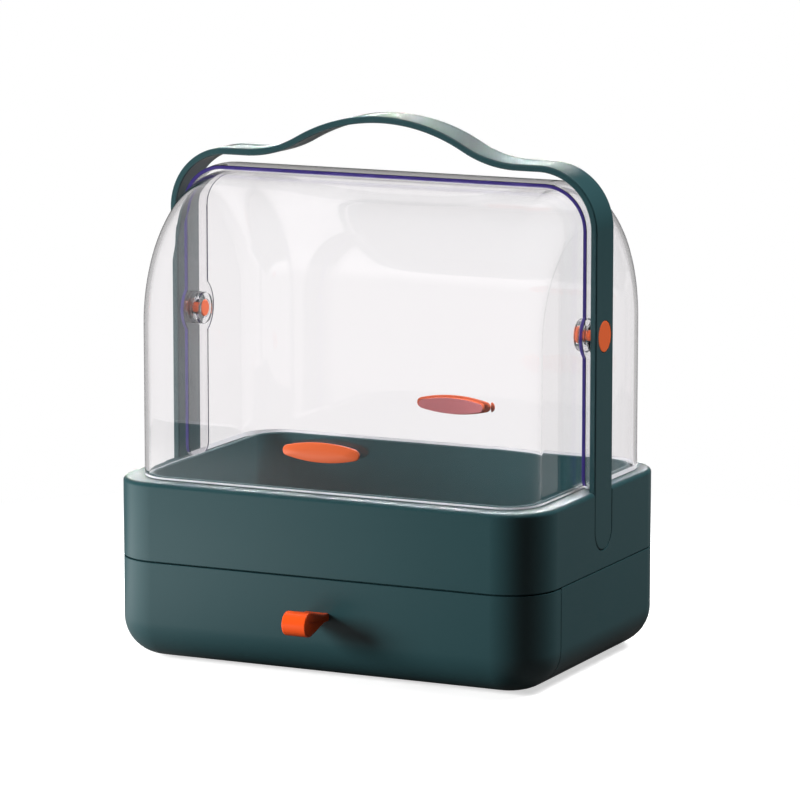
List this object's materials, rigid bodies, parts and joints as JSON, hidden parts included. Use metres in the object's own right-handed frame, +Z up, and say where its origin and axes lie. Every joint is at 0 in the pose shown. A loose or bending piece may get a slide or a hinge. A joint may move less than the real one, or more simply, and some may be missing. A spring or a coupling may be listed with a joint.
{
  "type": "dustproof makeup organizer",
  "caption": "Makeup organizer with a drawer base, an open tray, two clear swinging dust covers and a carrying handle.",
  "frame": {"origin": "on the table, under the centre of the base, midway between its side faces and between its front and rear faces", "axes": "+Z up; -Y the front, where the drawer and its knob are; +X the right-hand side, seen from the front"},
  "size_m": [0.26, 0.2087, 0.3],
  "materials": {
    "green_shell": "satin",
    "green_tray": "satin",
    "green_handle": "satin",
    "green_drawer": "satin",
    "green_box": "matt",
    "clear_front": "clear and glossy",
    "clear_rear": "clear and glossy",
    "orange_pull": "satin",
    "orange_knob": "satin",
    "orange_pin": "satin",
    "adhesive": "matt, tacky",
    "rubber_foot": "matt",
    "steel": "zinc plated"
  },
  "bodies": {
    "base": {"lower_housing": "green_shell", "upper_tray": "green_tray", "handle_band": "green_handle", "pivot_pin_left": "orange_pin", "pivot_pin_right": "orange_pin", "pivot_plug_left": "orange_pin", "pivot_plug_right": "orange_pin", "handle_screws": "steel", "housing_screws": "steel", "foot_front_left": "rubber_foot", "foot_front_right": "rubber_foot", "foot_rear_left": "rubber_foot", "foot_rear_right": "rubber_foot"},
    "front_cover": {"front_cover": "clear_front", "front_pull": "orange_pull", "front_pull_pad": "adhesive"},
    "rear_cover": {"rear_cover": "clear_rear", "rear_pull": "orange_pull", "rear_pull_pad": "adhesive"},
    "drawer": {"drawer_box": "green_box", "drawer_front": "green_drawer", "drawer_knob": "orange_knob", "knob_screw": "steel", "drawer_front_screws": "steel"}
  },
  "joints": [
    {"name": "front_cover_swing", "type": "hinge", "parent": "base", "child": "front_cover", "pos_m": [0, 0, 0.1853], "axis": [-1, 0, 0], "range_deg": [0, 45]},
    {"name": "rear_cover_swing", "type": "hinge", "parent": "base", "child": "rear_cover", "pos_m": [0, 0, 0.1853], "axis": [1, 0, 0], "range_deg": [0, 45]},
    {"name": "drawer_slide", "type": "slide", "parent": "base", "child": "drawer", "axis": [0, -1, 0], "range_m": [0, 0.11]}
  ]
}
